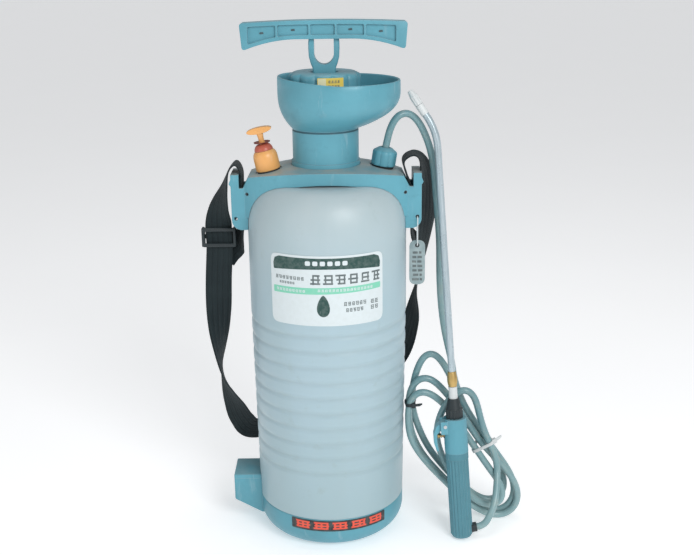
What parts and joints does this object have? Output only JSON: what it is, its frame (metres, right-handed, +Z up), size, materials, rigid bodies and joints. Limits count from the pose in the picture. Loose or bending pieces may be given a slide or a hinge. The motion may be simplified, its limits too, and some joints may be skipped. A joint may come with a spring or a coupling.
{
  "type": "backpack sprayer",
  "caption": "Shoulder-carried pump pressure sprayer: ribbed tank, funnel, T-handle pump, relief valve, webbing strap, coiled hose and trigger lance.",
  "frame": {"origin": "centre of the base cup's underside, on the tank's axis, on the floor", "axes": "+X towards the hose outlet and the gun, -Y the front with the label, +Z up along the tank"},
  "size_m": [0.3695, 0.1864, 0.5915],
  "materials": {
    "teal_plastic": "moulded teal polypropylene, slightly dusty",
    "tank_plastic": "milky translucent polyethylene",
    "label_paper": "printed vinyl label",
    "warning_label": "printed vinyl label in red and black",
    "sticker": "yellow sticker",
    "rubber": "black rubber seal",
    "amber_plastic": "orange-yellow acetal",
    "rust_plastic": "red-brown plastic",
    "dark_plastic": "black moulded plastic",
    "inner_plastic": "natural polypropylene tube",
    "hose_pvc": "grey-green soft PVC hose",
    "rod_metal": "zinc-plated steel",
    "lance_metal": "satin aluminium tube",
    "white_plastic": "light grey plastic",
    "brass": "dull brass",
    "spring_steel": "spring steel wire",
    "screw_steel": "dark plated steel",
    "webbing": "black woven polypropylene webbing",
    "tag_card": "grey translucent plastic tag"
  },
  "bodies": {
    "tank": {"tank_shell": "tank_plastic", "base_cup": "teal_plastic", "base_label": "warning_label", "front_label": "label_paper", "shoulder_yoke": "teal_plastic", "yoke_screws": "screw_steel", "filler_neck": "teal_plastic", "funnel_gasket": "rubber", "filler_funnel": "teal_plastic", "relief_body": "amber_plastic", "relief_collar": "rust_plastic", "relief_gasket": "rubber", "relief_nut": "amber_plastic", "relief_spring": "spring_steel", "outlet_fitting": "dark_plastic", "outlet_gasket": "rubber", "hose_nut": "teal_plastic", "dip_tube": "inner_plastic", "dip_filter": "dark_plastic", "hose": "hose_pvc", "hose_tail": "hose_pvc", "hose_coil": "hose_pvc", "hose_tie_white": "white_plastic", "hose_tie_black": "dark_plastic", "gun_grip": "teal_plastic", "gun_elbow": "dark_plastic", "valve_body": "teal_plastic", "gun_cap_nut": "dark_plastic", "lance_nut": "white_plastic", "brass_joint": "brass", "lance_tube": "lance_metal", "nozzle_body": "white_plastic", "lever_pin": "rod_metal", "trigger_spring": "spring_steel", "strap_left": "webbing", "strap_back": "webbing", "strap_right": "webbing", "strap_buckle": "dark_plastic", "tag_loop": "white_plastic"},
    "seal_ring": {"pump_seal": "rubber"},
    "pump": {"pump_cap": "teal_plastic", "cap_label": "sticker", "pump_barrel": "inner_plastic", "rod_bush": "dark_plastic", "foot_valve": "dark_plastic", "foot_valve_disc": "rubber"},
    "piston_head": {"piston": "dark_plastic", "piston_seal": "rubber"},
    "plunger": {"pump_rod": "rod_metal", "piston_nut": "rod_metal", "t_handle": "teal_plastic", "handle_pin": "rod_metal"},
    "relief_pull": {"relief_knob": "amber_plastic", "relief_seal": "rubber"},
    "lever": {"trigger_lever": "teal_plastic"},
    "valve_plunger": {"trigger_pin": "brass"},
    "nozzle_tip": {"nozzle_cap": "white_plastic"},
    "tag": {"hang_tag": "tag_card"}
  },
  "joints": [
    {"name": "pump_unscrew", "type": "hinge", "parent": "tank", "child": "seal_ring", "pos_m": [0, 0, 0.48], "axis": [0, 0, 1], "range_deg": [0, 450]},
    {"name": "pump_lift", "type": "slide", "parent": "seal_ring", "child": "pump", "axis": [0, 0, 1], "range_m": [0, 0.345]},
    {"name": "pump_stroke", "type": "slide", "parent": "pump", "child": "piston_head", "axis": [0, 0, 1], "range_m": [0, 0.22]},
    {"name": "handle_turn", "type": "hinge", "parent": "piston_head", "child": "plunger", "pos_m": [0, 0, 0.22], "axis": [0, 0, 1], "range_deg": [-90, 90]},
    {"name": "relief_pull", "type": "slide", "parent": "tank", "child": "relief_pull", "axis": [-0.2079, 0, 0.9781], "range_m": [0, 0.004], "stiffness_N_per_m": 500, "springref_m": -0.003, "deforming": ["relief_spring"]},
    {"name": "trigger_squeeze", "type": "hinge", "parent": "tank", "child": "lever", "pos_m": [0.132, -0.04168, 0.13715], "axis": [-0.0069, -0.9945, 0.1043], "range_deg": [0, 9], "stiffness_Nm_per_rad": 0.3, "springref_deg": -5.73, "deforming": ["trigger_spring"]},
    {"name": "trigger_push", "type": "slide", "parent": "tank", "child": "valve_plunger", "axis": [0.9978, 0, 0.0663], "range_m": [0, 0.0022]},
    {"name": "nozzle_turn", "type": "hinge", "parent": "tank", "child": "nozzle_tip", "pos_m": [0.11141, -0.00489, 0.48663], "axis": [-0.556, 0.0905, 0.8263], "range_deg": [0, 360]},
    {"name": "tag_swing", "type": "hinge", "parent": "tank", "child": "tag", "pos_m": [0.1005, -0.0195, 0.346], "axis": [-1, 0, 0], "range_deg": [-8, 35]}
  ],
  "couplings": [
    {"joint": "trigger_push", "follows": "trigger_squeeze", "m_per_rad": 0.013}
  ]
}
